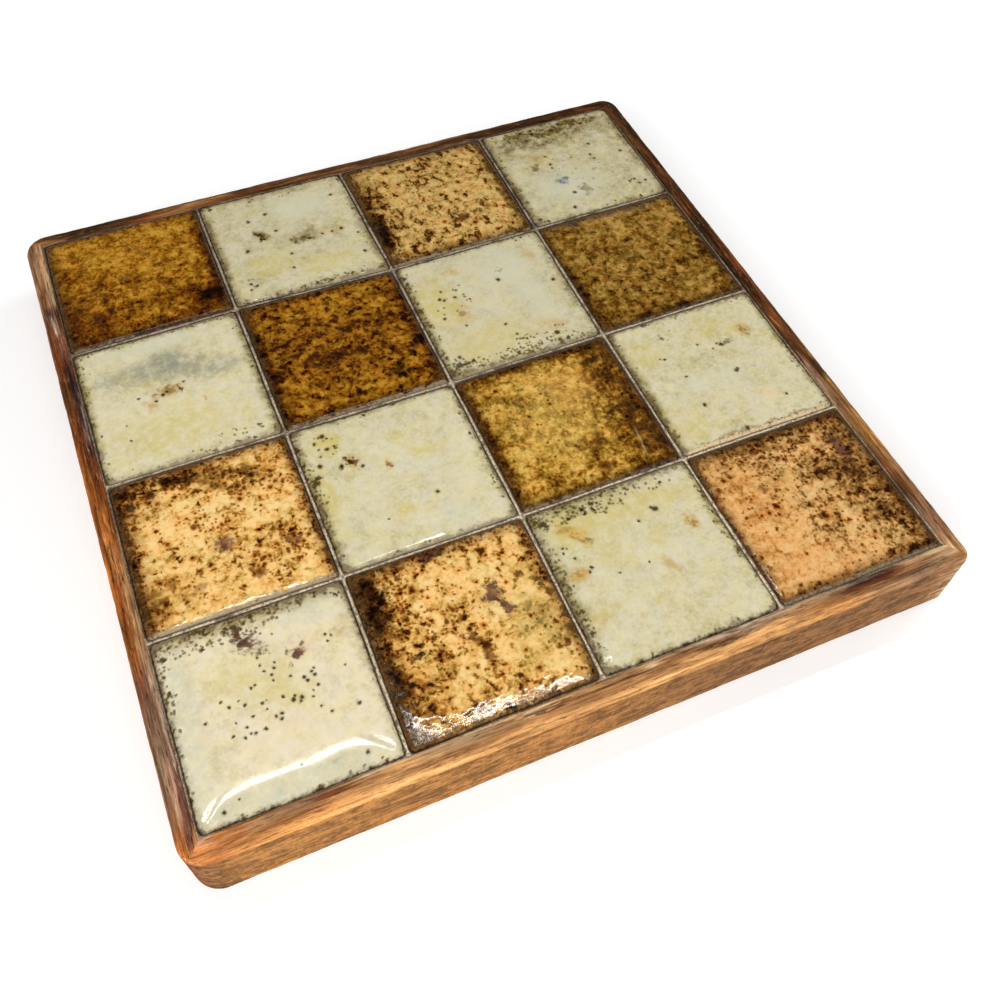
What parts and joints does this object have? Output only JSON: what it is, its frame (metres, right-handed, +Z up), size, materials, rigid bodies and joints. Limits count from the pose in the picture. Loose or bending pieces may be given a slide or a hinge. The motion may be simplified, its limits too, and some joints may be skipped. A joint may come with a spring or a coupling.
{
  "type": "trivet",
  "caption": "Square trivet: hand-made glazed tiles in a checkerboard of pale celadon and amber, grouted on a board inside a mitred wooden frame.",
  "frame": {"origin": "middle of the underside, on the table that the trivet stands on", "axes": "+X to the right along the front strip, +Y from the front strip to the back strip, +Z up"},
  "size_m": [0.209, 0.2126, 0.0206],
  "materials": {
    "celadon_glaze": "glossy, speckled",
    "amber_glaze": "glossy, mottled",
    "frame_wood": "oiled, worn",
    "grout": "matt, stained",
    "adhesive": "matt",
    "board_wood": "bare plywood"
  },
  "bodies": {
    "root": {"tile_r1_c1": "celadon_glaze", "tile_r1_c2": "amber_glaze", "tile_r1_c3": "celadon_glaze", "tile_r1_c4": "amber_glaze", "tile_r2_c1": "amber_glaze", "tile_r2_c2": "celadon_glaze", "tile_r2_c3": "amber_glaze", "tile_r2_c4": "celadon_glaze", "tile_r3_c1": "celadon_glaze", "tile_r3_c2": "amber_glaze", "tile_r3_c3": "celadon_glaze", "tile_r3_c4": "amber_glaze", "tile_r4_c1": "amber_glaze", "tile_r4_c2": "celadon_glaze", "tile_r4_c3": "amber_glaze", "tile_r4_c4": "celadon_glaze", "frame_front": "frame_wood", "frame_right": "frame_wood", "frame_back": "frame_wood", "frame_left": "frame_wood", "grout": "grout", "tile_adhesive": "adhesive", "base_board": "board_wood"}
  },
  "joints": []
}
